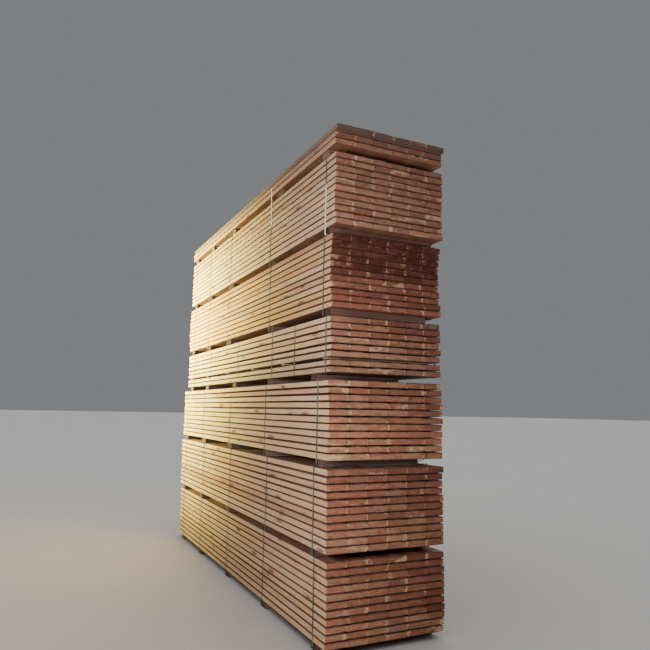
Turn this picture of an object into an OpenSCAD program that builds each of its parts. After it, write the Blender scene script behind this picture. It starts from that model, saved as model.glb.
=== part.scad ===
// A stack of lumber: six strapped packs of eased-edge boards and a low part
// pack on top, with bearers on the floor and between the packs.
// X runs along the boards, Y across them and Z up. The floor is Z = 0.

/* [Boards] */
// Length of every board
board_l = 4000; // [2400:100:6000]
// Width of a board
board_w = 150; // [95:1:225]
// Thickness of a board
board_t = 47.8; // [32:0.1:75]
// Radius of a board's eased long edges
edge_r = 5; // [1:0.5:8]
// Boards side by side in a layer
boards_across = 6; // [4:1:8]
// Gap between boards side by side
board_gap = 0.4; // [0.3:0.1:0.9]

/* [Packs] */
// Layers in a full pack
full_layers = 11; // [6:1:14]
// Layers in the low pack under its laths
low_layers_under = 2; // [1:1:6]
// Layers in the low pack on its laths
low_layers_over = 6; // [1:1:8]
// Layers in the part pack on top of the stack
top_layers = 3; // [1:1:6]
// Gap between a piece and what it rests on
seat_gap = 0.3; // [0.2:0.05:0.5]
// How far a board's ends stand out of line with its layer, each way
end_stagger = 3; // [0:0.5:12]
// How far a layer's ends stand out of line with its pack, each way
layer_slide = 7; // [0:0.5:20]
// How far a layer stands out of line across the pack, each way
layer_stagger = 1.5; // [0:0.5:4]
// How far the topmost layer of all was pushed out at the +X end
top_layer_slide = 22; // [0:1:60]

/* [Bearers and laths] */
// Height of the bearers that packs stand on
bearer_h = 46; // [35:1:100]
// Width of a bearer
bearer_w = 105; // [60:1:150]
// How far in from the pack's -Y side the end of a bearer may lie
bearer_inset = 16; // [0:1:40]
// Thickness of the laths inside the low pack
lath_t = 10.5; // [6:0.5:25]
// Width of a lath
lath_w = 70; // [30:1:95]

/* [Straps] */
// Width of the plastic strap
strap_w = 16; // [12:1:32]
// Thickness of the plastic strap
strap_t = 0.8; // [0.6:0.1:1.5]

/* [Hidden] */

// The packs are counted from the floor up, and the low pack is the fourth.
low_pack = 3;
low_layers = low_layers_under + low_layers_over;
layers = [full_layers, full_layers, full_layers, low_layers, full_layers, full_layers, top_layers];
packs = [0 : len(layers) - 1];

// How far each pack was set down off the middle, as shares of a board's width
along_shares = [0.15, 0.32, 0.15, -0.40, -0.26, 0, 0.04];
across_shares = [-0.11, -0.22, -0.15, 0.18, 0.14, 0.11, 0.05];
// How far each pack's middle layers were drawn in at the +X end, likewise
bow_shares = [0.03, -0.04, 0.05, 0.02, -0.20, -0.03, 0];

// Where straps, bearers and laths lie, as shares of the length from the +X end
strap_shares = [
    [0.045, 0.280, 0.520, 0.760, 0.955],
    [0.050, 0.270, 0.510, 0.750, 0.950],
    [0.040, 0.290, 0.530, 0.770, 0.960],
    [0.017, 0.153, 0.273, 0.500, 0.744, 0.924],
    [0.033, 0.298, 0.598, 0.785, 0.950],
    [0.037, 0.310, 0.599, 0.800, 0.955]
];
bearer_shares = [
    [0.040, 0.275, 0.515, 0.755, 0.960],
    [0.055, 0.280, 0.520, 0.760, 0.955],
    [0.035, 0.280, 0.525, 0.765, 0.965],
    [0.069, 0.290, 0.530, 0.780, 0.955],
    [0.023, 0.292, 0.590, 0.780, 0.955],
    [0.038, 0.305, 0.595, 0.795, 0.960],
    [0.043, 0.265, 0.590, 0.787, 0.966]
];
lath_shares = [0.019, 0.210, 0.395, 0.590, 0.780, 0.962];
// How much of the pack's width its bearers and laths reach across, from -Y
bearer_length_shares = [0.97, 0.93, 0.84, 0.76, 0.88, 0.95, 0.97];
lath_length_share = 0.92;

// Each eased edge is drawn as this many flats
edge_flats = 1;
// Wood colours: fresh heartwood, dark damp heartwood, bearers and laths
heartwood = [0.62, 0.40, 0.28];
dark_heartwood = [0.45, 0.22, 0.16];
bearer_wood = [0.42, 0.36, 0.31];
lath_wood = [0.70, 0.58, 0.44];
strap_green = [0.55, 0.62, 0.55];

board_pitch = board_w + board_gap;
layer_pitch = board_t + seat_gap;
pack_w = boards_across * board_pitch - board_gap;

// Straps run down both sides of a pack just off its widest layer. A bearer's groove
// takes its own pack's strap, with the top run of the strap below passing under that.
strap_y = pack_w / 2 + layer_stagger + seat_gap;
groove_w = strap_w + 2 * seat_gap;
groove_depth = 2 * strap_t + 3 * seat_gap;

// Heights, from the floor up
function lath_room(pack) = pack == low_pack ? lath_t + seat_gap : 0;
function pack_h(pack) = layers[pack] * layer_pitch - seat_gap + lath_room(pack);
function bearer_z(pack) = pack == 0 ? 0 : pack_z(pack - 1) + pack_h(pack - 1) + seat_gap;
function pack_z(pack) = bearer_z(pack) + bearer_h + seat_gap;
function layer_z(pack, layer) =
    pack_z(pack) + layer * layer_pitch + (layer >= low_layers_under ? lath_room(pack) : 0);
lath_z = pack_z(low_pack) + low_layers_under * layer_pitch;

// Each pack's boards stand out of line by shares of the staggers, the same at every build
function end_shares(pack, layer) = rands(-1, 1, boards_across, 17 + 31 * pack + 7 * layer);
function slide_share(pack, layer) = rands(-1, 1, 1, 3 + 41 * pack + 13 * layer)[0];
function across_share(pack, layer) = rands(-1, 1, 1, 5 + 23 * pack + 11 * layer)[0];
function inset_share(pack, bearer) = rands(0, 1, 1, 2 + 19 * pack + 5 * bearer)[0];
function bow(pack, layer) =
    bow_shares[pack] * board_w * sin(180 * (layer + 0.5) / layers[pack]);
function is_topmost(pack, layer) = pack == len(layers) - 1 && layer == top_layers - 1;
function layer_x(pack, layer) =
    along_shares[pack] * board_w + bow(pack, layer) + slide_share(pack, layer) * layer_slide
    + (is_topmost(pack, layer) ? top_layer_slide : 0);
function board_off(pack, layer, column) =
    layer_x(pack, layer) + end_shares(pack, layer)[column] * end_stagger;
function layer_off(pack, layer) =
    across_shares[pack] * board_w + across_share(pack, layer) * layer_stagger;

// The stack is centred on its own outline
board_offs = [for (p = packs, l = [0 : layers[p] - 1], c = [0 : boards_across - 1]) board_off(p, l, c)];
middle_x = (max(board_offs) + min(board_offs)) / 2;
middle_y = (max(across_shares) + min(across_shares)) * board_w / 2;

function pack_x(pack) = along_shares[pack] * board_w - middle_x;
function pack_y(pack) = across_shares[pack] * board_w - middle_y;
function station_x(pack, share) = pack_x(pack) + board_l * (0.5 - share);

// Only a strap that lies within the width of a bearer is taken round it
function rides_bearer(pack, share) = min(
    [for (b = bearer_shares[pack]) abs(share - b)]
) * board_l < (bearer_w - groove_w) / 2;

// Section of a board: a rectangle whose four corners are eased with a few flats
function eased_corner(y, z, from_angle) = [
    for (i = [0 : edge_flats])
        let (angle = from_angle + 90 * i / edge_flats)
        [y + edge_r * cos(angle), z + edge_r * sin(angle)]
];
module board_section() {
    y = board_w / 2 - edge_r;
    z = board_t - edge_r;
    polygon(concat(
        eased_corner(y, z, 0),
        eased_corner(-y, z, 90),
        eased_corner(-y, edge_r, 180),
        eased_corner(y, edge_r, 270)
    ));
}

module board() {
    rotate([90, 0, 90])
        translate([0, 0, -board_l / 2])
            linear_extrude(board_l) board_section();
}

module pack_boards(pack, wood) {
    color(wood)
        for (layer = [0 : layers[pack] - 1], column = [0 : boards_across - 1])
            translate([
                board_off(pack, layer, column) - middle_x,
                layer_off(pack, layer) - middle_y + (column - (boards_across - 1) / 2) * board_pitch,
                layer_z(pack, layer)
            ])
                board();
}

// Cut across a bearer where a strap passes, from one groove's depth either side of z
module strap_groove(pack, share, z) {
    translate([station_x(pack, share) - groove_w / 2, pack_y(pack) - pack_w, z])
        cube([groove_w, 2 * pack_w, 2 * groove_depth]);
}

// Bearers under one pack, grooved where straps cross them
module pack_bearers(pack) {
    color(bearer_wood)
        difference() {
            for (i = [0 : len(bearer_shares[pack]) - 1]) {
                inset = inset_share(pack, i) * bearer_inset;
                translate([
                    station_x(pack, bearer_shares[pack][i]) - bearer_w / 2,
                    pack_y(pack) - pack_w / 2 + inset,
                    bearer_z(pack)
                ])
                    cube([bearer_w, bearer_length_shares[pack] * pack_w - inset, bearer_h]);
            }
            if (pack < len(strap_shares))
                for (share = strap_shares[pack])
                    strap_groove(pack, share, bearer_z(pack)
                        + (rides_bearer(pack, share) ? 0 : bearer_h) - groove_depth);
            if (pack > 0)
                for (share = strap_shares[pack - 1])
                    strap_groove(pack - 1, share, bearer_z(pack) - groove_depth);
        }
}

module low_pack_laths() {
    color(lath_wood)
        for (share = lath_shares)
            translate([station_x(low_pack, share) - lath_w / 2, pack_y(low_pack) - pack_w / 2, lath_z])
                cube([lath_w, lath_length_share * pack_w, lath_t]);
}

// Outline of a strap's inside, seen along the boards, from the pack's underside up
function strap_inside(pack, share) =
    let (
        top = pack_h(pack) + seat_gap,
        low = groove_depth - 2 * seat_gap - bearer_h,
        bearer_end = (bearer_length_shares[pack] - 0.5) * pack_w + seat_gap
    )
    rides_bearer(pack, share)
        ? [[-strap_y, top], [strap_y, top], [strap_y, 0], [bearer_end, low], [-strap_y, low]]
        : [[-strap_y, top], [strap_y, top], [strap_y, -seat_gap], [-strap_y, -seat_gap]];

// The same outline moved out by the strap's thickness, its corners kept sharp
function out_normal(from, to) =
    let (d = to - from) [-d[1], d[0]] / norm(d);
function moved_out(points, by) = [
    for (i = [0 : len(points) - 1])
        let (
            before = points[(i + len(points) - 1) % len(points)],
            after = points[(i + 1) % len(points)],
            a = out_normal(before, points[i]),
            b = out_normal(points[i], after)
        )
        points[i] + by * (a + b) / (1 + a * b)
];

module strap(pack, share) {
    inside = strap_inside(pack, share);
    rotate([90, 0, 90])
        translate([0, 0, -strap_w / 2])
            linear_extrude(strap_w)
                difference() {
                    polygon(moved_out(inside, strap_t));
                    polygon(inside);
                }
}

module pack_straps(pack) {
    color(strap_green)
        for (share = strap_shares[pack])
            translate([station_x(pack, share), pack_y(pack), pack_z(pack)])
                strap(pack, share);
}

pack_boards(0, heartwood);  // pack_1_boards
pack_boards(1, heartwood);  // pack_2_boards
pack_boards(2, heartwood);  // pack_3_boards
pack_boards(3, heartwood);  // low_pack_boards
pack_boards(4, dark_heartwood);  // pack_5_boards
pack_boards(5, heartwood);  // pack_6_boards
pack_boards(6, heartwood);  // top_pack_boards
pack_bearers(0);  // pack_1_bearers
pack_bearers(1);  // pack_2_bearers
pack_bearers(2);  // pack_3_bearers
pack_bearers(3);  // low_pack_bearers
pack_bearers(4);  // pack_5_bearers
pack_bearers(5);  // pack_6_bearers
pack_bearers(6);  // top_pack_bearers
low_pack_laths();
pack_straps(0);  // pack_1_straps
pack_straps(1);  // pack_2_straps
pack_straps(2);  // pack_3_straps
pack_straps(3);  // low_pack_straps
pack_straps(4);  // pack_5_straps
pack_straps(5);  // pack_6_straps
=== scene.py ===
import math
import random

import bmesh
import bpy
import numpy as np
from mathutils import Matrix, Vector


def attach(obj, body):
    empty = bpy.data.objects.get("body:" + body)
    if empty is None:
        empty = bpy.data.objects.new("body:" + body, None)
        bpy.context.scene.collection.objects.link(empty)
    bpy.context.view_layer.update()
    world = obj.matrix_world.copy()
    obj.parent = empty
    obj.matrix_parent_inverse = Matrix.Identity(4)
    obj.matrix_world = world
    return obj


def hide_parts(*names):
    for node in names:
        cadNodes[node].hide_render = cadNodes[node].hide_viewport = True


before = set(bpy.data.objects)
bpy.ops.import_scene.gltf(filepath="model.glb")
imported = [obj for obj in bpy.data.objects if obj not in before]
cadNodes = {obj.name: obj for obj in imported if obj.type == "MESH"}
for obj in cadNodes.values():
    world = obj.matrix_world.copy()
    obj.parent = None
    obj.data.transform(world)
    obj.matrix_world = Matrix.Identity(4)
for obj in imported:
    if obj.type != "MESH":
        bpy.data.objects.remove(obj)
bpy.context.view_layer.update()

cameraSpot = {
    "place": (5.6109, -2.2338, 1.5186),
    "azimuth": 64.196,    # looking direction, turned from +Y
    "pitch": 8.0056,      # up from level
    "roll": 1.0639,
    "lens": 33.71,        # millimetres, as the sensor's width is
    "sensor": 36,
}


def setCamera():
    data = bpy.data.cameras.new("viewCamera")
    data.lens, data.sensor_width = cameraSpot["lens"], cameraSpot["sensor"]
    camera = bpy.data.objects.new("viewCamera", data)
    bpy.context.scene.collection.objects.link(camera)
    camera.matrix_world = (
        Matrix.Translation(cameraSpot["place"])
        @ Matrix.Rotation(math.radians(cameraSpot["azimuth"]), 4, "Z")
        @ Matrix.Rotation(math.radians(90 + cameraSpot["pitch"]), 4, "X")
        @ Matrix.Rotation(math.radians(cameraSpot["roll"]), 4, "Z")
    )
    bpy.context.scene.camera = camera
    print("camera set")


# a socket that adds Math nodes when it is used in a sum
class Wire:
    def __init__(self, bench, socket):
        self.bench, self.socket = bench, socket

    def out(self, name):
        return Wire(self.bench, self.socket.node.outputs[name])

    def math(self, operation, *others):
        return self.bench.add("Math", {"operation": operation}, (self, *others))

    def __add__(self, other):
        return self.math("ADD", other)

    def __mul__(self, other):
        return self.math("MULTIPLY", other)

    def __sub__(self, other):
        return self.math("SUBTRACT", other)

    def __rsub__(self, other):
        return self.bench.add("Math", {"operation": "SUBTRACT"}, (other, self))

    __radd__ = __add__
    __rmul__ = __mul__


# one material, or the sky, and its nodes
class Bench:
    def __init__(self, name, sky=None):
        self.material = sky or bpy.data.materials.new(name)
        self.material.use_nodes = True
        self.tree = self.material.node_tree
        self.tree.nodes.clear()

    # a node's settings come first, then its sockets' values or links
    def add(self, kind, settings=None, values=(), output=0):
        node = self.tree.nodes.new("ShaderNode" + kind)
        for name, value in (settings or {}).items():
            setattr(node, name, value)
        pairs = values.items() if isinstance(values, dict) else enumerate(values)
        for name, value in pairs:
            if isinstance(value, Wire):
                self.tree.links.new(value.socket, node.inputs[name])
            else:
                node.inputs[name].default_value = value
        return Wire(self, node.outputs[output]) if node.outputs else None

    def mix(self, factor, a, b, mode="MIX"):
        a, b = [(*colour, 1) if isinstance(colour, tuple) else colour for colour in (a, b)]
        return self.add("Mix", {"data_type": "RGBA", "blend_type": mode}, {0: factor, 6: a, 7: b}, 2)

    def tint(self, colour, gain):
        return self.mix(1.0, colour, gain, "MULTIPLY")

    def step(self, value, low, high):
        return self.add("MapRange", {"interpolation_type": "SMOOTHSTEP"},
                        {"Value": value, "From Min": low, "From Max": high})

    def stretch(self, vector, scale, place=(0, 0, 0)):
        return self.add("Mapping", None, {"Vector": vector, "Scale": scale, "Location": place})

    def noise(self, vector, scale, detail=4, rough=0.55):
        return self.add("TexNoise", None,
                        {"Vector": vector, "Scale": scale, "Detail": detail, "Roughness": rough})

    # a noise as a finish gives it: scale each way, place, detail, roughness
    def pattern(self, vector, numbers):
        scale, place, detail, rough = numbers
        return self.noise(self.stretch(vector, scale, place), 1.0, detail, rough)

    def map(self, name):
        return self.add("UVMap", {"uv_map": name})

    def attribute(self, name):
        return self.add("Attribute", {"attribute_name": name})

    def channels(self, colour):
        return self.add("SeparateColor", None, {"Color": colour})

    def axes(self, vector):
        return self.add("SeparateXYZ", None, {0: vector})

    def length(self, vector):
        return self.add("VectorMath", {"operation": "LENGTH"}, {0: vector}, "Value")

    def finish(self, colour, roughness, height=None, depth=0.001, specular=0.5):
        values = {"Base Color": colour, "Roughness": roughness, "Specular IOR Level": specular}
        if height is not None:
            values["Normal"] = self.add("Bump", None, {"Height": height, "Distance": depth, "Strength": 1.0})
        shader = self.add("BsdfPrincipled", None, values)
        self.add("OutputMaterial", None, {"Surface": shader})
        return self.material


endFinish = {
    "heartPale": (0.480, 0.194, 0.115),
    "heartTan": (0.420, 0.262, 0.155),
    "heartDeep": (0.070, 0.011, 0.008),
    "heartRed": (0.225, 0.050, 0.032),
    "sap": (0.760, 0.520, 0.310),
    "crack": (0.045, 0.018, 0.010),
    "dust": (0.420, 0.310, 0.260),
    "grime": (0.110, 0.078, 0.066),
    "shadow": (0.035, 0.014, 0.010),     # painted shade along the arris, where one layer meets the next
    "smeared": (1.75, 1.95, 1.90),       # gains on the wood's colour
    "mottled": (0.50, 0.42, 0.40),
    "ringLine": (0.55, 0.43, 0.38),
    "sawn": (1.45, 1.55, 1.55),
    "ringWidth": 0.0042,
    "latewood": 0.80,                    # how much darker a ring's hard line is
    "blotches": ((22, 22, 22), (0.3, 0.7, 0), 5, 0.65),
    "smears": ((16, 60, 9), (2.3, 5.1, 0), 4, 0.6),
    "tans": ((11, 34, 5), (6.2, 0.4, 0), 3, 0.6),
    "sapPatches": ((24, 24, 9), (7.7, 1.4, 0), 1, 0.55),
    "sawMarks": ((60, 700, 1), (0, 0, 0), 2, 0.6),
    "bumpDepth": 0.0008,
}
edgeFinish = {
    "heart": (0.400, 0.205, 0.125),
    "sap": (0.530, 0.380, 0.245),
    "warmSap": (0.540, 0.315, 0.080),
    "streak": (0.300, 0.160, 0.100),
    "knot": (0.150, 0.068, 0.036),
    "rim": (0.070, 0.032, 0.020),
    # painted shade along the arris, where one layer meets the next
    "shadow": (0.090, 0.045, 0.030),
    "sawn": (0.720, 0.580, 0.460),
    "dust": (0.360, 0.310, 0.290),
    "grime": (0.115, 0.085, 0.074),
    "grainLine": (0.62, 0.46, 0.35),     # gains on the wood's colour
    "paleStreak": (1.30, 1.30, 1.25),
    "grainLines": 135,                   # lines in a metre of height
    "sawPitch": 0.0065,
    "knotCell": (3.1, 13, 1),
    "drifts": ((0.9, 14, 1), (0, 0, 0), 4, 0.55),
    "streaks": ((2.2, 120, 1), (0, 0, 0), 5, 0.6),
    "fineGrain": ((9, 520, 1), (0, 0, 0), 3, 0.7),
    "wavers": ((0.45, 8, 1), (3.1, 0, 0), 3, 0.5),
    "sawPatches": ((1.3, 5, 1), (8.8, 0, 0), 2, 0.55),
    "dustPatches": ((2.2, 7, 1), (1.7, 2.3, 0), 3, 0.55),
    "bumpDepth": 0.0007,
}
wideFinish = {
    "heart": (0.165, 0.068, 0.040),
    "sap": (0.280, 0.175, 0.110),
    "bleached": (0.370, 0.290, 0.235),
}
# the eased edges take a darker colour: painted shade in the grooves between the layers
easedFinish = {
    "dark": (0.090, 0.040, 0.025),
    "light": (0.220, 0.120, 0.075),
    "streaks": ((3, 90, 1), (0, 0, 0), 4, 0.55),
    "bumpDepth": 0.0005,
}


# what each board carries in its attributes
def readTone(m):
    board, pack = m.attribute("boardTone"), m.attribute("packTone")
    boardParts, packParts = m.channels(board), m.channels(pack)
    return {"deep": boardParts, "pale": boardParts.out("Green"), "sapStart": boardParts.out("Blue"),
            "chance": board.out("Alpha"), "warm": packParts, "dusty": packParts.out("Green"),
            "grimy": packParts.out("Blue")}


# 1 along the arris above and below, 0 on the middle of the face: where the painted shade goes
def arrisShade(m, spot, inner):
    height = m.axes(m.map("faceMap")).out("Y").math("ABSOLUTE")
    return m.step(height + (m.noise(spot, 35, 4) - 0.5) * 0.30, inner, 1.0)


def endGrain():
    m = Bench("sawnEndGrain")
    spot = m.map("boardMap")
    tone = readTone(m)
    xy = m.axes(spot)
    place = m.add("CombineXYZ", None, (xy, xy.out("Y"), tone["chance"] * 9))

    # rings round the pith, and sapwood beyond them
    radius = m.length(spot) + (m.noise(place, 9, 3) - 0.5) * 0.008
    ring = (radius * (1 / endFinish["ringWidth"])).math("FRACT")
    late = m.step(ring, 0.45, 0.92) * (1 - m.step(ring, 0.94, 1.0))
    sap = m.step(radius - tone["sapStart"] + (m.noise(spot, 40, 2) - 0.5) * 0.014, -0.006, 0.007)

    blotch = m.pattern(place, endFinish["blotches"])
    angle = xy.math("ARCTAN2", xy.out("Y"))
    mottle = m.noise(m.add("CombineXYZ", None, (angle * 5, radius * 210, tone["chance"] * 9)), 1.0, 4, 0.65)
    smear = m.pattern(place, endFinish["smears"])
    tan = m.pattern(place, endFinish["tans"]) + (tone["pale"] - 0.7) * 0.35
    fuzz = m.noise(spot, 420, 3, 0.7)
    heart = m.mix(tone["deep"], endFinish["heartPale"], endFinish["heartDeep"])
    heart = m.mix(m.step(blotch, 0.42, 0.70) * 0.45, heart, endFinish["heartRed"])
    fleck = m.step(mottle, 0.50, 0.72) * (0.12 + tone["chance"] * 0.34) * (1 - tone["deep"] * 0.5)
    heart = m.mix(fleck, heart, endFinish["sap"])
    smear = m.step(smear, 0.48, 0.66) * (0.25 + tone["chance"] * 0.5) * (1 - tone["deep"] * 0.55)
    heart = m.mix(smear, heart, m.tint(heart, endFinish["smeared"]))
    heart = m.mix(m.step(mottle, 0.50, 0.28) * 0.55, heart, m.tint(heart, endFinish["mottled"]))
    heart = m.mix(m.step(tan, 0.50, 0.66) * (1 - tone["deep"]) * 0.75, heart, endFinish["heartTan"])
    patchy = 0.2 + m.step(m.pattern(place, endFinish["sapPatches"]), 0.42, 0.58) * 0.8
    paleness = sap * patchy * (0.60 + tone["chance"] * 0.40) * (1 - tone["deep"] * 0.6)
    wood = m.mix(paleness, heart, endFinish["sap"])
    hard = late * endFinish["latewood"] * (0.35 + fuzz * 0.5)
    wood = m.mix(hard, wood, m.tint(wood, endFinish["ringLine"]))

    # drying checks run out from the pith
    ray = m.add("CombineXYZ", None, (angle * 7, radius * 9, tone["chance"] * 20))
    crack = m.add("TexVoronoi", {"feature": "DISTANCE_TO_EDGE"},
                  {"Vector": ray, "Scale": 1.0, "Randomness": 0.9})
    crack = (1 - m.step(crack, 0.006, 0.022)) * m.step(m.noise(ray, 0.9, 2), 0.52, 0.60)
    wood = m.mix(crack * 0.8, wood, endFinish["crack"])

    # saw marks cross the end from edge to edge
    sawn = m.pattern(spot, endFinish["sawMarks"])
    height = sawn * 0.5 + fuzz * 0.25 - crack * 1.5 - late * 0.12
    wood = m.mix(m.step(sawn, 0.45, 0.80) * 0.6, wood, m.tint(wood, endFinish["sawn"]))
    wood = m.mix(tone["dusty"] * m.step(blotch, 0.3, 0.8) * 0.6, wood, endFinish["dust"])
    wood = m.mix(tone["grimy"] * (0.5 + blotch * 0.6) * (1 - sap * 0.6), wood, endFinish["grime"])
    # painted shade along the arrises, where the layers meet
    wood = m.mix(arrisShade(m, spot, 0.66) * 0.80, wood, endFinish["shadow"])
    return m.finish(wood, 0.82 + fuzz * 0.1, height, endFinish["bumpDepth"], 0.25)


# long faces: streaks along the board, fine saw lines across it
def longGrain(name, isWide):
    m = Bench(name)
    spot = m.map("boardMap")
    tone = readTone(m)

    drift = m.pattern(spot, edgeFinish["drifts"])
    streak = m.pattern(spot, edgeFinish["streaks"])
    fine = m.pattern(spot, edgeFinish["fineGrain"])
    if isWide:
        heart = m.mix(tone["deep"] * 0.7, wideFinish["heart"], endFinish["heartRed"])
        wood = m.mix(m.step(tone["pale"] * 0.3 + drift, 0.78, 1.0) * 0.6, heart, wideFinish["sap"])
    else:
        # the warm share also carries the painted glow of the warm lamp at the -X end
        sapTone = m.mix(tone["warm"], edgeFinish["sap"], edgeFinish["warmSap"])
        wood = m.mix(m.step(tone["pale"] + (drift - 0.5) * 1.2, 0.02, 0.74), edgeFinish["heart"], sapTone)
    xy = m.axes(spot)
    waver = m.pattern(spot, edgeFinish["wavers"])
    grain = (xy.out("Y") * edgeFinish["grainLines"] + waver * 7).math("FRACT")
    late = m.step(grain, 0.30, 0.90) * (1 - m.step(grain, 0.93, 1.0))
    wood = m.mix(late * (0.30 + fine * 0.60), wood, m.tint(wood, edgeFinish["grainLine"]))
    wood = m.mix(m.step(streak, 0.46, 0.64) * 0.42, wood, edgeFinish["streak"])
    wood = m.mix(m.step(streak, 0.50, 0.34) * 0.30, wood, m.tint(wood, edgeFinish["paleStreak"]))

    # knots, in some of the cells
    cell = m.add("TexVoronoi", {"feature": "F1"},
                 {"Vector": m.stretch(spot, edgeFinish["knotCell"]), "Scale": 1.0})
    chosen = m.step(m.channels(cell.out("Color")), 0.55, 0.59)
    ragged = cell + (fine - 0.5) * 0.05
    knot = (1 - m.step(ragged, 0.12, 0.16)) * chosen
    rim = (1 - m.step(ragged, 0.15, 0.20)) * chosen
    halo = (1 - m.step(ragged, 0.14, 0.50)) * chosen
    wood = m.mix(halo * 0.45, wood, edgeFinish["streak"])
    wood = m.mix(rim * 0.75, wood, edgeFinish["rim"])
    wood = m.mix(knot * (0.55 + fine * 0.5), wood, edgeFinish["knot"])

    # band-saw lines stand across the grain, in patches
    along = xy + xy.out("Y") * 0.12
    lines = (along * (2 * math.pi / edgeFinish["sawPitch"]) + drift * 9).math("SINE")
    patch = m.step(m.pattern(spot, edgeFinish["sawPatches"]), 0.42, 0.62)
    sawn = m.step(lines * 0.5 + 0.5 + (fine - 0.5) * 0.8, 0.45, 1.0) * patch
    wood = m.mix(sawn * 0.10, wood, edgeFinish["sawn"])
    dust = m.pattern(spot, edgeFinish["dustPatches"])
    dusty, grime = m.step(dust, 0.40, 0.75) * (0.10 + tone["dusty"] * 0.6), edgeFinish["grime"]
    if isWide:      # dust lies and rain bleaches only where a face looks up
        upper = m.step(m.axes(m.map("faceMap")).out("Y"), -0.2, 0.2)
        dusty, grime = dusty * upper, m.mix(upper, grime, wideFinish["bleached"])
    wood = m.mix(dusty, wood, edgeFinish["dust"])
    wood = m.mix(tone["grimy"] * (0.45 + dust * 0.7), wood, grime)
    if not isWide:
        # painted shade along the arrises, where the layers meet
        wood = m.mix(arrisShade(m, spot, 0.74) * 0.7, wood, edgeFinish["shadow"])
    height = sawn * 0.20 + streak * 0.35 + fine * 0.30 - late * 0.12 + knot * 0.3
    return m.finish(wood, 0.80 + fine * 0.12, height, edgeFinish["bumpDepth"], 0.25)


# the eased edges take a darker colour: painted shade in the grooves between the layers
def easedEdge():
    m = Bench("shadedEasedEdge")
    streak = m.pattern(m.map("boardMap"), easedFinish["streaks"])
    wood = m.mix(m.step(streak, 0.45, 0.8), easedFinish["dark"], easedFinish["light"])
    return m.finish(wood, 0.95, streak, easedFinish["bumpDepth"], 0.1)


bearerFinish = {"pale": (0.280, 0.155, 0.118), "dark": (0.160, 0.080, 0.060),
                "grime": (0.120, 0.078, 0.068), "grey": (0.120, 0.100, 0.108)}
# end grain is darker, and this near-black dark colour is also painted shade for bearer ends set back in the
# gaps
bearerEndFinish = {"pale": (0.330, 0.235, 0.175), "dark": (0.050, 0.028, 0.022),
                   "grime": (0.070, 0.044, 0.036), "grey": (0.078, 0.056, 0.050)}
lathFinish = {"pale": (0.380, 0.270, 0.185), "dark": (0.240, 0.150, 0.095),
              "grime": (0.200, 0.150, 0.120), "grey": (0.180, 0.160, 0.150)}
timberGrain = {
    "darkStreak": (0.42, 0.35, 0.31),    # gains on the wood's colour
    "paleStreak": (1.55, 1.50, 1.45),
    "sideStreaks": ((2.0, 80, 1), (0, 0, 0), 5, 0.6),
    "endStreaks": ((90, 90, 1), (0, 0, 0), 5, 0.6),
    "blotches": ((4, 9, 1), (0, 0, 0), 4, 0.55),
    "rings": 240,                        # in a metre from the pith
}
strapFinish = {
    "green": (0.046, 0.060, 0.046),
    "grey": (0.130, 0.135, 0.110),
    "cream": (0.660, 0.640, 0.520),
    "scuff": (0.260, 0.260, 0.225),
    "embossing": 420,                    # squares in a metre
}


# bearers and laths: grain runs along Y, and the sawn ends have a finish of their own
def rawTimber(name, colours, isEnd):
    m = Bench(name)
    spot = m.map("timberMap")
    tone = m.channels(m.attribute("timberTone"))
    streak = m.pattern(spot, timberGrain["endStreaks" if isEnd else "sideStreaks"])
    blotch = m.pattern(spot, timberGrain["blotches"])
    fuzz = m.noise(spot, 300, 3, 0.7)
    wood = m.mix(tone, colours["dark"], colours["pale"])
    wood = m.mix(tone.out("Green") * 0.8, wood, colours["grey"])
    wood = m.mix(m.step(streak, 0.36, 0.62) * 0.70, wood, m.tint(wood, timberGrain["darkStreak"]))
    wood = m.mix(m.step(streak, 0.52, 0.34) * 0.45, wood, m.tint(wood, timberGrain["paleStreak"]))
    wood = m.mix(m.step(blotch, 0.42, 0.75) * 0.5, wood, colours["grime"])
    if isEnd:
        rings = (m.length(spot) * timberGrain["rings"]).math("FRACT")
        wood = m.mix(m.step(rings, 0.5, 0.95) * 0.35, wood, colours["dark"])
    return m.finish(wood, 0.86 + fuzz * 0.1, streak * 0.6 + fuzz * 0.4, 0.001, 0.2)


def strapPlastic():
    m = Bench("embossedStrap")
    spot = m.add("TexCoord", None, (), "Object")
    tone = m.channels(m.attribute("strapTone"))
    squares = m.add("TexVoronoi", {"feature": "DISTANCE_TO_EDGE"},
                    {"Vector": spot, "Scale": strapFinish["embossing"], "Randomness": 0.0})
    cloudy = m.noise(spot, 14, 3)
    tint = m.mix(m.step(cloudy, 0.35, 0.70), strapFinish["green"], strapFinish["grey"])
    # painted highlight: cream where a strap catches the light
    tint = m.mix(tone, tint, strapFinish["cream"])
    tint = m.mix(m.step(m.noise(spot, 90, 2), 0.55, 0.8) * 0.25, tint, strapFinish["scuff"])
    return m.finish(tint, 0.62 + cloudy * 0.2, squares, 0.0002, 0.15)


# every kind of piece has its own seed
seeds = {"boards": 40, "bearers": 300, "laths": 500, "straps": 7}
boardBlank = {
    "length": 4.0,
    "width": 0.150,
    "thick": 0.0478,
    "ease": 0.0028,
    "stations": (0, 0.012, 0.34, 0.66, 0.988, 1),
}
boardHabit = {
    "topFall": (0.0042, 0.0078),    # from the ridge that carries the next layer to each edge
    "footLift": (0.0014, 0.0036),
    "endFall": (0.0028, 0.0050),    # how far the ridge itself falls at the ends
    "crook": 0.0016,
    "ripple": 0.0005,
    "skewCut": 0.0020,
    "waneChance": 0.14,
    "waneDepth": (0.004, 0.012),
    "waneReach": (0.18, 0.5),
    "layerGap": (0.65, 1.25),       # how much one layer's gaps differ from another's
}
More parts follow.
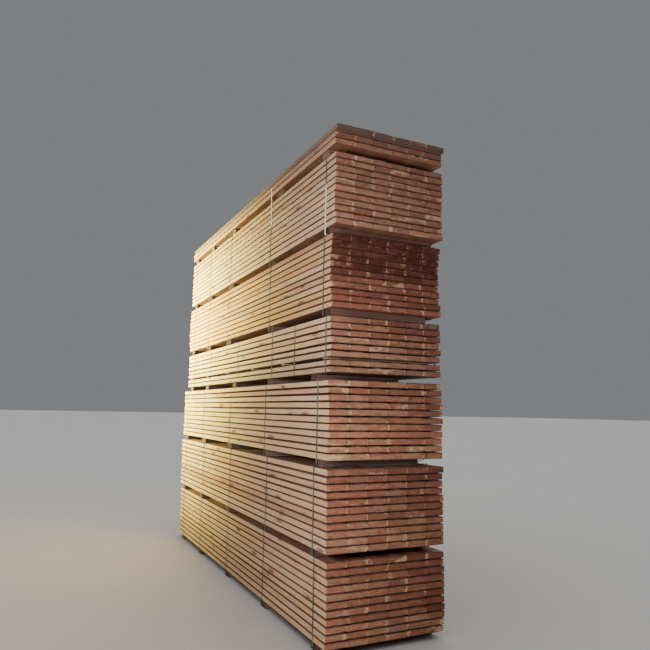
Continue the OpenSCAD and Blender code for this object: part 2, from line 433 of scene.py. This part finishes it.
# where the sapwood is: each number is the share of boards up to and with that kind
sapHabit = {
    "allOver": 0.03,
    "oneFace": 0.13,
    "bothEdges": 0.60,
    "corners": 1.10,
    "farPith": 0.20,                # the pith of a board with sapwood on one face lies outside it
    "faceDepth": (0.004, 0.018),
    "edgeDepth": (0.003, 0.014),
    "cornerDepth": (0.006, 0.018),
    "none": 9.0,
    "darkLayer": 0.8,               # layers redder than this have hardly any broad sapwood
}
# how far a layer, and a board in it, strays from its pack
layerStray = {"deep": 0.06, "pale": 0.15, "grimy": 0.03}
boardStray = {"deep": 0.06, "pale": 0.20, "warm": 0.15, "grimy": 0.05, "dusty": 0.12}
# first the foot layer, then the top one: deep is how red the ends are, pale how creamy the edges and
# grimy how dirty both; for the whole pack, warm is how yellow the edges are and farWarm how much more so
# at the -X end, a painted glow of the warm lamp there, dusty how grey the faces, paleEnds how often an end
# has sapwood, rightDeeper how much redder and darker the ends are towards +Y, as painted shade, gaps how
# open the layers lie and uneven how far they differ in paleness
packLooks = {
    "pack_1_boards": {"deep": (0.20, 0.52), "pale": (0.75, 0.65), "grimy": (0.00, 0.00),
                      "warm": 0.30, "farWarm": 0.0, "dusty": 0.15, "paleEnds": 0.6,
                      "rightDeeper": 0.50, "gaps": 1.00, "uneven": 0.15},
    "pack_2_boards": {"deep": (0.22, 0.50), "pale": (0.75, 0.65), "grimy": (0.00, 0.00),
                      "warm": 0.20, "farWarm": 0.0, "dusty": 0.15, "paleEnds": 0.6,
                      "rightDeeper": 0.50, "gaps": 1.00, "uneven": 0.15},
    "pack_3_boards": {"deep": (0.15, 0.40), "pale": (0.80, 0.70), "grimy": (0.00, 0.00),
                      "warm": 0.20, "farWarm": 0.0, "dusty": 0.15, "paleEnds": 0.6,
                      "rightDeeper": 0.50, "gaps": 1.00, "uneven": 0.15},
    "low_pack_boards": {"deep": (0.22, 0.64), "pale": (0.98, 0.85), "grimy": (0.46, -0.40),
                        "warm": 0.15, "farWarm": 0.0, "dusty": 0.30, "paleEnds": 0.6,
                        "rightDeeper": 0.45, "gaps": 1.20, "uneven": 0.15},
    "pack_5_boards": {"deep": (0.52, 1.14), "pale": (0.50, 0.24), "grimy": (0.00, 0.00),
                      "warm": 0.36, "farWarm": 0.9, "dusty": 0.05, "paleEnds": 0.8,
                      "rightDeeper": 0.10, "gaps": 0.95, "uneven": 0.28},
    "pack_6_boards": {"deep": (0.40, 0.50), "pale": (0.86, 0.76), "grimy": (-0.20, 0.12),
                      "warm": 0.05, "farWarm": 0.0, "dusty": 0.60, "paleEnds": 0.8,
                      "rightDeeper": 0.22, "gaps": 0.95, "uneven": 0.15},
    "top_pack_boards": {"deep": (0.52, 0.42), "pale": (0.26, 0.02), "grimy": (0.00, 0.95),
                        "warm": 0.00, "farWarm": 0.0, "dusty": 0.40, "paleEnds": 0.7,
                        "rightDeeper": 0.00, "gaps": 0.75, "uneven": 0.15},
}


def pickOnly(*objects):
    if bpy.context.object and bpy.context.object.mode != "OBJECT":
        bpy.ops.object.mode_set(mode="OBJECT")
    bpy.ops.object.select_all(action="DESELECT")
    for o in objects:
        o.select_set(True)
    if objects:
        bpy.context.view_layer.objects.active = objects[0]


def pickEdges(mesh, wanted):
    bm = bmesh.from_edit_mesh(mesh)
    for part in (bm.faces, bm.edges, bm.verts):
        for item in part:
            item.select = False
    for edge in bm.edges:
        if wanted(edge):
            edge.select = True
    bm.select_flush_mode()
    bmesh.update_edit_mesh(mesh)


def lies(edge, axis):
    run = edge.verts[0].co - edge.verts[1].co
    return abs(run[axis]) > 0.9 * run.length


def faceKind(normal):
    if abs(normal.x) > 0.9:
        return 2
    if abs(normal.y) > 0.9:
        return 1
    return 0 if abs(normal.z) > 0.9 else 3


def makeBlank(materials):
    pickOnly()
    bpy.ops.mesh.primitive_cube_add(size=1, location=(0, 0, 0))
    blank = bpy.context.object
    blank.name = "boardBlank"
    for material in materials:
        blank.data.materials.append(material)
    blank.scale = (boardBlank["length"], boardBlank["width"], boardBlank["thick"])
    bpy.ops.object.transform_apply(location=False, rotation=False, scale=True)
    bpy.ops.object.mode_set(mode="EDIT")
    bpy.ops.mesh.select_mode(type="EDGE")
    pickEdges(blank.data, lambda edge: lies(edge, 0))
    bpy.ops.mesh.bevel(offset=boardBlank["ease"], segments=1, affect="EDGES")
    pickEdges(blank.data, lambda edge: lies(edge, 1))
    bpy.ops.mesh.subdivide(number_cuts=1)          # a ridge down each wide face
    pickEdges(blank.data, lambda edge: lies(edge, 0))
    bpy.ops.mesh.subdivide(number_cuts=len(boardBlank["stations"]) - 2)
    bpy.ops.object.mode_set(mode="OBJECT")
    finishBlank(blank, ("boardMap", "faceMap"), ("boardTone", "packTone"))
    return blank


def finishBlank(blank, maps, tones):
    for face in blank.data.polygons:
        face.material_index = faceKind(face.normal)
        face.use_smooth = False
    while blank.data.uv_layers:
        blank.data.uv_layers.remove(blank.data.uv_layers[0])
    for name in maps:
        blank.data.uv_layers.new(name=name)
    for name in tones:
        blank.data.attributes.new(name, "FLOAT_COLOR", "POINT")
    print(blank.name, "has", len(blank.data.polygons), "faces")


weld = 0.00004      # points nearer than this are one


# the corner points of every loose solid of a CAD node
def solidPoints(nodeName):
    bm = bmesh.new()
    bm.from_mesh(cadNodes[nodeName].data)
    bmesh.ops.remove_doubles(bm, verts=bm.verts, dist=weld)
    seen, solids = set(), []
    for start in bm.verts:
        if start in seen:
            continue
        seen.add(start)
        todo, points = [start], []
        while todo:
            vert = todo.pop()
            points.append(vert.co[:])
            for edge in vert.link_edges:
                other = edge.other_vert(vert)
                if other not in seen:
                    seen.add(other)
                    todo.append(other)
        solids.append(np.array(points))
    bm.free()
    return solids


def solidBoxes(nodeName):
    boxes = [(points.min(0), points.max(0)) for points in solidPoints(nodeName)]
    return sorted(boxes, key=lambda b: (round(b[0][2], 3), round(b[0][1], 3)))


# the blank's own numbers, read once
def readBlank(blank):
    mesh = blank.data
    points = np.zeros(len(mesh.vertices) * 3)
    mesh.vertices.foreach_get("co", points)
    corners = np.zeros(len(mesh.loops), int)
    mesh.loops.foreach_get("vertex_index", corners)
    kinds = np.zeros(len(mesh.loops), int)
    for face in mesh.polygons:
        kinds[list(face.loop_indices)] = faceKind(face.normal)
    return points.reshape(-1, 3), corners, kinds


def shapeBoard(copy, numbers, box, look, dice, habit, right):
    points, corners, kinds = numbers
    low, high = box
    length, width, thick = boardBlank["length"], boardBlank["width"], boardBlank["thick"]
    last = len(boardBlank["stations"]) - 1
    station = np.round((points[:, 0] / length + 0.5) * last).astype(int)
    share = np.array(boardBlank["stations"])[station]
    across = points[:, 1] / (width / 2)
    up = points[:, 2] / (thick / 2)
    size = high - low
    atEnd = (station == 0) | (station == last)
    onEdge, onRidge = np.abs(across) > 0.98, np.abs(across) < 0.1

    # wane: one long corner fades off for part of the length
    wane = np.zeros(len(points))
    if dice.random() < boardHabit["waneChance"]:
        sideY, sideZ = dice.choice((-1, 1)), dice.choice((-1, 1))
        centre, reach = dice.uniform(0.0, 1.0), dice.uniform(*boardHabit["waneReach"])
        fade = np.clip(1 - np.abs(share - centre) / reach, 0, 1)
        wane = dice.uniform(*boardHabit["waneDepth"]) * fade * (across * sideY > 0) * (up * sideZ > 0)

    # a board touches the next one only along its middle
    def slack(key):
        a, b = [look["gaps"] * habit["gap"] * dice.uniform(*boardHabit[key]) for _ in "ab"]
        return np.where(across < 0, a, b) * ~onRidge
    ridge = atEnd * onRidge * look["gaps"] * habit["gap"] * dice.uniform(*boardHabit["endFall"])
    offset = np.where(up > 0, -slack("topFall"), slack("footLift"))
    offset -= np.sign(up) * ridge * np.where(up > 0, 1, 0.4)
    ripple = np.array([dice.uniform(-1, 1) for _ in range(last + 1)])[station] * boardHabit["ripple"]
    skew = dice.uniform(-1, 1) * boardHabit["skewCut"] / 2

    placed = np.empty_like(points)
    placed[:, 0] = low[0] + share * size[0] + skew * across * atEnd
    middle = np.sin(math.pi * share)
    placed[:, 1] = (low[1] + high[1]) / 2 + points[:, 1] + habit["crook"] * middle + ripple * middle * onEdge
    placed[:, 2] = low[2] + (up + 1) / 2 * size[2] + offset
    placed[:, 1] -= np.sign(across) * wane * ~onEdge
    placed[:, 2] -= np.sign(up) * wane * 0.75 * onEdge

    # each board has its own pith, sapwood and place in the grain
    kind = dice.random() / look["paleEnds"]
    pithUp, pithAcross = dice.choice((-1, 1)) * dice.uniform(0.01, 0.07), dice.gauss(0, 0.010)
    corner = math.hypot(width / 2, thick / 2 + abs(pithUp))
    sapStart = sapHabit["none"]
    spared = max(0, habit["deep"] - sapHabit["darkLayer"])
    if kind < sapHabit["allOver"]:
        sapStart = spared * 0.25
    elif kind < sapHabit["oneFace"]:
        pithUp = dice.choice((-1, 1)) * sapHabit["farPith"]
        pithAcross = dice.uniform(-0.07, 0.07)
        sapStart = sapHabit["farPith"] + dice.uniform(*sapHabit["faceDepth"]) + spared * 0.12
    elif kind < sapHabit["bothEdges"]:
        pithUp = dice.uniform(-0.012, 0.012)
        sapStart = width / 2 - dice.uniform(*sapHabit["edgeDepth"])
    elif kind < sapHabit["corners"]:      # only those that lie farthest from the pith
        sapStart = corner - dice.uniform(*sapHabit["cornerDepth"])
    slide, shift = dice.uniform(0, 60), dice.uniform(0, 30)
    at, isEnd = placed[corners], kinds == 2
    flat = points[corners]
    mapped = np.empty((len(corners), 2))
    mapped[:, 0] = np.where(isEnd, flat[:, 1] - pithAcross, at[:, 0] + slide)
    mapped[:, 1] = np.where(isEnd, flat[:, 2] - pithUp, np.where(kinds == 1, flat[:, 2], flat[:, 1]) + shift)
    face = np.stack((across[corners], up[corners]), 1)

    tones = {
        # deeper, darker ends towards +Y: painted shade across the end faces
        "deep": habit["deep"] + (right - 0.4) * look["rightDeeper"],
        "pale": habit["pale"],
        "warm": look["warm"],
        "grimy": habit["grimy"],
        "dusty": look["dusty"],
    }
    tones = {name: min(1, max(0, value + dice.gauss(0, boardStray[name]))) for name, value in tones.items()}
    board = (tones["deep"], tones["pale"], sapStart, dice.random())
    pack = np.tile((tones["warm"], tones["dusty"], tones["grimy"], 1), (len(points), 1))
    # warmer towards the -X end: a painted glow of the warm lamp there
    pack[:, 0] = np.clip(tones["warm"] + look["farWarm"] * (1 - share), 0, 1)
    copy.vertices.foreach_set("co", placed.ravel())
    copy.uv_layers["boardMap"].data.foreach_set("uv", mapped.ravel())
    copy.uv_layers["faceMap"].data.foreach_set("uv", face.ravel())
    copy.attributes["boardTone"].data.foreach_set("color", np.tile(board, len(points)))
    copy.attributes["packTone"].data.foreach_set("color", pack.ravel())
    copy.update()


def putCopy(name, mesh):
    copy = bpy.data.objects.new(name, mesh)
    bpy.context.scene.collection.objects.link(copy)
    return copy


# joins copies into the one piece that stands for a CAD node
def joinFor(node, copies, name):
    pickOnly(*copies)
    bpy.ops.object.join()
    piece = bpy.context.object
    piece.name = name
    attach(piece, "root")
    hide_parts(node)
    print(name, "is made of", len(copies), "pieces")
    return piece


def layBoards(blank):
    numbers = readBlank(blank)
    for order, (node, look) in enumerate(packLooks.items()):
        dice = random.Random(seeds["boards"] + order)
        boxes = solidBoxes(node)
        foot, top = boxes[0][0][2], boxes[-1][0][2]
        left, right = min(b[0][1] for b in boxes), max(b[0][1] for b in boxes)
        stray = {**layerStray, "pale": look["uneven"]}
        copies, layer, habit = [], None, None
        for box in boxes:
            if layer != round(box[0][2], 3):
                layer = round(box[0][2], 3)
                rise = (box[0][2] - foot) / (top - foot)
                habit = {"crook": dice.uniform(-1, 1) * boardHabit["crook"],
                         "gap": dice.uniform(*boardHabit["layerGap"])}
                for key, spread in stray.items():
                    low, high = look[key]
                    habit[key] = low + (high - low) * rise + dice.gauss(0, spread)
            mesh = blank.data.copy()
            shapeBoard(mesh, numbers, box, look, dice, habit, (box[0][1] - left) / (right - left))
            copies.append(putCopy("board", mesh))
        joinFor(node, copies, node.replace("_boards", "_sawn"))
    bpy.data.objects.remove(blank)


timberBlank = {
    "bevel": 0.2,         # on a blank 2 across, brought back to the ease when a timber is shaped
    "ease": 0.0025,
    "easeStray": (0.6, 1.4),
    "cuts": 4,
    "twist": 0.0030,      # how far a bearer's end lies off square, each way
    "bump": 0.0008,
    "endPith": (0.02, 0.05),
}
# how pale a node's timbers are, from and to, and how grey they have weathered
timberLooks = {
    "top_pack_bearers": ((0.25, 0.6), 0.2),
    "pack_6_bearers": ((0.0, 0.04), 0.3),
    "pack_5_bearers": ((0.0, 0.12), 0.2),
    "low_pack_bearers": ((0.0, 0.2), 0.5),
    "pack_3_bearers": ((0.2, 0.5), 0.8),
    "low_pack_laths": ((0.3, 1.0), 0.0),
    "others": ((0.0, 0.35), 0.2),
}


def makeTimber(name, materials):
    pickOnly()
    bpy.ops.mesh.primitive_cube_add(size=2, location=(0, 0, 0))
    blank = bpy.context.object
    blank.name = name
    for material in materials:
        blank.data.materials.append(material)
    bpy.ops.object.mode_set(mode="EDIT")
    bpy.ops.mesh.select_mode(type="EDGE")
    pickEdges(blank.data, lambda edge: lies(edge, 1))
    bpy.ops.mesh.bevel(offset=timberBlank["bevel"], segments=2, affect="EDGES")
    pickEdges(blank.data, lambda edge: lies(edge, 1))
    bpy.ops.mesh.subdivide(number_cuts=timberBlank["cuts"])
    bpy.ops.object.mode_set(mode="OBJECT")
    finishBlank(blank, ("timberMap",), ("timberTone",))
    for face in blank.data.polygons:
        face.material_index = 1 if faceKind(face.normal) == 1 else 0
    return blank


def layTimbers(suffix, newSuffix, blank, seed):
    points, corners, kinds = readBlank(blank)
    cuts = timberBlank["cuts"]
    station = np.round((points[:, 1] + 1) / 2 * (cuts + 1)).astype(int)
    for order, node in enumerate([name for name in cadNodes if name.endswith(suffix)]):
        dice = random.Random(seed + order)
        pale, grey = timberLooks.get(node, timberLooks["others"])
        copies = []
        for low, high in solidBoxes(node):
            half = (high - low) / 2
            ease = timberBlank["ease"] * dice.uniform(*timberBlank["easeStray"])
            inward = (1 - np.abs(points)) / timberBlank["bevel"] * ease
            placed = np.sign(points) * (half - inward)
            placed[:, 1] = points[:, 1] * half[1]
            placed[:, 0] += points[:, 1] * dice.uniform(-1, 1) * timberBlank["twist"]
            bumps = [dice.uniform(-1, 1) * timberBlank["bump"] for _ in range(cuts + 2)]
            placed[:, 0] += np.array(bumps)[station] * np.sign(points[:, 0])
            placed += (low + high) / 2
            shift = (dice.uniform(0, 40), dice.uniform(0, 40))
            at = placed[corners] - (low + high) / 2
            isEnd, pith = kinds == 1, timberBlank["endPith"]
            upright = np.where(kinds == 2, at[:, 2], at[:, 0])
            mapped = np.empty((len(corners), 2))
            mapped[:, 0] = np.where(isEnd, at[:, 0] + pith[0], at[:, 1] + shift[0])
            mapped[:, 1] = np.where(isEnd, at[:, 2] + pith[1], upright + shift[1])
            mesh = blank.data.copy()
            mesh.vertices.foreach_set("co", placed.ravel())
            mesh.uv_layers["timberMap"].data.foreach_set("uv", mapped.ravel())
            tone = (dice.uniform(*pale), grey + dice.uniform(-0.15, 0.15), 0, 1)
            mesh.attributes["timberTone"].data.foreach_set("color", np.tile(tone, len(points)))
            mesh.update()
            copies.append(putCopy("timber", mesh))
        joinFor(node, copies, node.replace(suffix, newSuffix))
    bpy.data.objects.remove(blank)


strapBand = {
    "width": 0.016,
    "thick": 0.0008,
    "turn": 0.006,        # radius that the strap takes round a corner
    "cuts": 14,           # stations on each long run
    "lap": 0.11,          # length of the pressed joint
    "lapCuts": 2,
    "lapGap": 0.0002,     # from the strap under it
    "lapShift": 0.0006,   # how far it lies out of line
    "lapHeight": (0.35, 0.6),
    "wall": 0.0035,       # a corner of the CAD strap has its inner and outer points within this
}
# stretches painted with a cream highlight where they catch the light: a pack and its strap, counted from
# the +X end, and from where to where as shares of the pack's height
brightRuns = {
    ("pack_6", 0): (0.0, 0.62),
    ("pack_6", 1): (0.66, 1.0),
}


# corners of a strap's inside, in order round the pack, read off the CAD solid
def strapCorners(points):
    side = points[points[:, 0] < points[:, 0].mean()][:, 1:]
    centre = side.mean(0)
    inner = []
    for y, z in side:
        others = side - (y, z)
        near = side[np.hypot(*others.T) < strapBand["wall"]]
        if np.hypot(y - centre[0], z - centre[1]) <= np.hypot(*(near - centre).T).min() + 1e-7:
            inner.append((y, z))
    inner = sorted(set((round(y, 6), round(z, 6)) for y, z in inner),
                   key=lambda c: math.atan2(c[1] - centre[1], c[0] - centre[0]))
    return inner


# one edge across the strap is drawn out from corner to corner
def drawRun(corners, x, closed, cuts):
    width = strapBand["width"]
    pickOnly()
    y, z = corners[0]
    bpy.ops.mesh.primitive_plane_add(size=width, location=(x, y + width / 2, z))
    band = bpy.context.object
    bpy.ops.object.mode_set(mode="EDIT")
    bpy.ops.mesh.select_mode(type="VERT")
    bm = bmesh.from_edit_mesh(band.data)
    for vert in bm.verts:
        vert.select = vert.co.y > 0
    bm.select_flush_mode()
    bmesh.update_edit_mesh(band.data)
    bpy.ops.mesh.delete(type="VERT")
    bpy.ops.mesh.select_all(action="SELECT")
    route = list(corners[1:]) + ([corners[0]] if closed else [])
    for toY, toZ in route:
        bpy.ops.mesh.extrude_edges_move(TRANSFORM_OT_translate={"value": (0, toY - y, toZ - z)})
        y, z = toY, toZ
    bpy.ops.mesh.select_all(action="SELECT")
    bpy.ops.mesh.remove_doubles(threshold=weld)
    bpy.ops.mesh.select_mode(type="EDGE")
    pickEdges(band.data, lambda edge: lies(edge, 0) and not edge.is_boundary)
    bpy.ops.mesh.bevel(offset=strapBand["turn"], segments=3, affect="EDGES")
    pickEdges(band.data, lambda edge: not lies(edge, 0) and edge.calc_length() > 0.05)
    bpy.ops.mesh.subdivide(number_cuts=cuts)
    bpy.ops.mesh.select_all(action="SELECT")
    bpy.ops.mesh.normals_make_consistent(inside=False)
    bpy.ops.object.mode_set(mode="OBJECT")
    bpy.ops.object.transform_apply(location=True, rotation=True, scale=True)
    return band


def thicken(band, offset):
    wall = band.modifiers.new("wall", "SOLIDIFY")
    wall.thickness, wall.offset = strapBand["thick"], offset
    pickOnly(band)
    bpy.ops.object.modifier_apply(modifier=wall.name)


def paintStrapHighlight(band, cream):
    tone = band.data.attributes.new("strapTone", "FLOAT_COLOR", "POINT")
    values = [(cream(vert.co), 0, 0, 1) for vert in band.data.vertices]
    tone.data.foreach_set("color", np.array(values).ravel())


def strapSolids(node):
    return sorted(solidPoints(node), key=lambda points: -points[:, 0].mean())


def layStraps(material):
    dice = random.Random(seeds["straps"])
    lapBlank = drawRun([(0, 0), (0, strapBand["lap"])], 0, False, strapBand["lapCuts"])
    thicken(lapBlank, 0)
    for node in [name for name in cadNodes if name.endswith("_straps")]:
        pack = node.replace("_straps", "")
        bands, blank, drawn = [], None, None
        for place, points in enumerate(strapSolids(node)):
            x = points[:, 0].mean()
            corners = strapCorners(points)
            if corners != drawn:      # straps of one pack mostly run the same way round
                if blank:
                    bpy.data.objects.remove(blank)
                blank, drawn = drawRun(corners, 0, True, strapBand["cuts"]), corners
                thicken(blank, 1)
            low, high = points[:, 2].min(), points[:, 2].max()
            front = points[:, 1].min() + 0.01
            run = brightRuns.get((pack, place))

            def cream(spot):
                if run is None or spot.y > front:
                    return 0.0
                share = (spot.z - low) / (high - low)
                return 1.0 if run[0] <= share <= run[1] else 0.0
            bands.append(putStrap(blank, (x, 0, 0), cream))
            side = dice.choice((-1, 1))
            edge = max(c[0] for c in corners) if side > 0 else min(c[0] for c in corners)
            z = low + (high - low) * dice.uniform(*strapBand["lapHeight"])
            outside = edge + side * (strapBand["thick"] * 1.5 + strapBand["lapGap"])
            lapPlace = (x + strapBand["lapShift"], outside, z)
            bands.append(putStrap(lapBlank, lapPlace, lambda spot: 0.0))
        for band in bands:
            band.data.materials.append(material)
        joinFor(node, bands, pack + "_bands")
        bpy.data.objects.remove(blank)
    bpy.data.objects.remove(lapBlank)


def putStrap(blank, place, cream):
    band = putCopy("strap", blank.data.copy())
    band.data.transform(Matrix.Translation(place))
    paintStrapHighlight(band, cream)
    return band


# the loose end of a strap that was never cut off
strapTail = {
    "node": "pack_6_straps",
    "strap": 1,           # counted from the +X end
    "start": 0.05,        # below the top of the strap that it belongs to
    "rise": 0.125,
    "curl": 0.006,
    "gap": 0.0022,
    "shift": 0.002,
}


def addTail(material):
    points = strapSolids(strapTail["node"])[strapTail["strap"]]
    front, top = points[:, 1].min() - strapTail["gap"], points[:, 2].max()
    curl, rise = strapTail["curl"], strapTail["rise"]
    route = [(front, top - strapTail["start"]), (front - 0.001, top),
             (front - curl * 0.4, top + rise * 0.5), (front - curl, top + rise)]
    tail = drawRun(route, points[:, 0].mean() + strapTail["shift"], False, 3)
    tail.name = "strapTail"
    thicken(tail, 0)
    # the whole tail takes the painted cream highlight
    paintStrapHighlight(tail, lambda spot: 1.0)
    tail.data.materials.append(material)
    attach(tail, "root")
    print("strap tail added")


studio = {
    "floor": (0.72, 0.71, 0.69),
    "floorClouds": (0.62, 0.61, 0.59),
    "floorSize": 400,
    "floorWash": 1.5,     # even light that only the floor takes
    "washAngle": 120,
    "sky": (0.80, 0.82, 0.85),
    "skyPower": 0.255,
    "backdrop": 0.26,     # what the camera sees behind the object
    "darkSide": (0.80, 0.60, 0),      # the sky falls off behind the right hand
    "darkFrom": -0.45,
    "darkTo": 1.0,
    "darkLeft": 0.20,     # the share of the sky's power that is left there
}
lamps = {
    "farLeft": {"place": (-3.2, -3.7, 2.3), "aim": (-2.2, -0.4, 2.5), "size": 1.6, "spread": 70,
                "power": 600, "colour": (1.0, 0.99, 0.29)},
    "nearLeft": {"place": (3.6, -3.1, 1.9), "aim": (1.7, -0.3, 2.0), "size": 1.2, "spread": 150,
                 "power": 112, "colour": (1.0, 0.95, 0.92)},
    "backRight": {"place": (-3.0, 6.5, 5.5), "aim": (-0.5, 0, 1.8), "size": 4.5, "spread": 170,
                  "power": 400, "colour": (0.95, 0.97, 1.0)},
    "overhead": {"place": (0.0, 0.0, 8.6), "aim": (0.0, 0.01, 3.5), "size": 0.9, "spread": 100,
                 "power": 95, "colour": (1.0, 0.97, 0.93)},
}


def layFloor():
    pickOnly()
    bpy.ops.mesh.primitive_plane_add(size=studio["floorSize"], location=(0, 0, 0))
    floor = bpy.context.object
    floor.name = "paleFloor"
    m = Bench("paleFloor")
    clouds = m.noise(m.add("TexCoord", None, (), "Object"), 0.8, 4)
    floor.data.materials.append(m.finish(m.mix(clouds * 0.2, studio["floor"], studio["floorClouds"]), 0.7))
    return floor


def putLight(name, data, receivers):
    light = bpy.data.objects.new(name, data)
    bpy.context.scene.collection.objects.link(light)
    light.light_linking.receiver_collection = receivers
    return light


# the lamps miss the floor, which takes an even wash of its own
def hangLamps(floor):
    offFloor, onFloor = [bpy.data.collections.new(name) for name in ("lampsMiss", "washMeets")]
    for group, state in ((offFloor, "EXCLUDE"), (onFloor, "INCLUDE")):
        group.objects.link(floor)
        group.collection_objects[0].light_linking.link_state = state
    wash = bpy.data.lights.new("floorWash", "SUN")
    wash.energy, wash.angle = studio["floorWash"], math.radians(studio["washAngle"])
    putLight("floorWash", wash, onFloor)
    for name, lamp in lamps.items():
        data = bpy.data.lights.new(name, "AREA")
        data.shape, data.size, data.spread = "SQUARE", lamp["size"], math.radians(lamp["spread"])
        data.energy, data.color = lamp["power"], lamp["colour"]
        place = Vector(lamp["place"])
        turn = (Vector(lamp["aim"]) - place).to_track_quat("-Z", "Y")
        putLight(name, data, offFloor).matrix_world = Matrix.Translation(place) @ turn.to_matrix().to_4x4()


def paintSky():
    world = bpy.data.worlds.new("softSky")
    m = Bench("softSky", world)
    way = m.add("VectorMath", {"operation": "DOT_PRODUCT"},
                {0: m.add("TexCoord", None, (), "Generated"), 1: studio["darkSide"]}, "Value")
    share = 1 - m.step(way, studio["darkFrom"], studio["darkTo"]) * (1 - studio["darkLeft"])
    seen = m.add("LightPath", None, (), "Is Camera Ray")
    power = share * studio["skyPower"] * (1 - seen) + seen * studio["backdrop"]
    glow = m.add("Background", None, {"Color": (*studio["sky"], 1), "Strength": power})
    m.add("OutputWorld", None, {"Surface": glow})
    bpy.context.scene.world = world


setCamera()
layBoards(makeBlank((longGrain("sawnWideFace", True), longGrain("sawnEdge", False), endGrain(), easedEdge())))
layTimbers("_bearers", "_skids", makeTimber("bearerBlank", (
    rawTimber("weatheredBearer", bearerFinish, False),
    rawTimber("bearerEnd", bearerEndFinish, True))), seeds["bearers"])
layTimbers("_laths", "_slips", makeTimber("lathBlank", (
    rawTimber("paleLath", lathFinish, False),
    rawTimber("lathEnd", lathFinish, True))), seeds["laths"])
strapMaterial = strapPlastic()
layStraps(strapMaterial)
addTail(strapMaterial)
hangLamps(layFloor())
paintSky()
print("studio built")
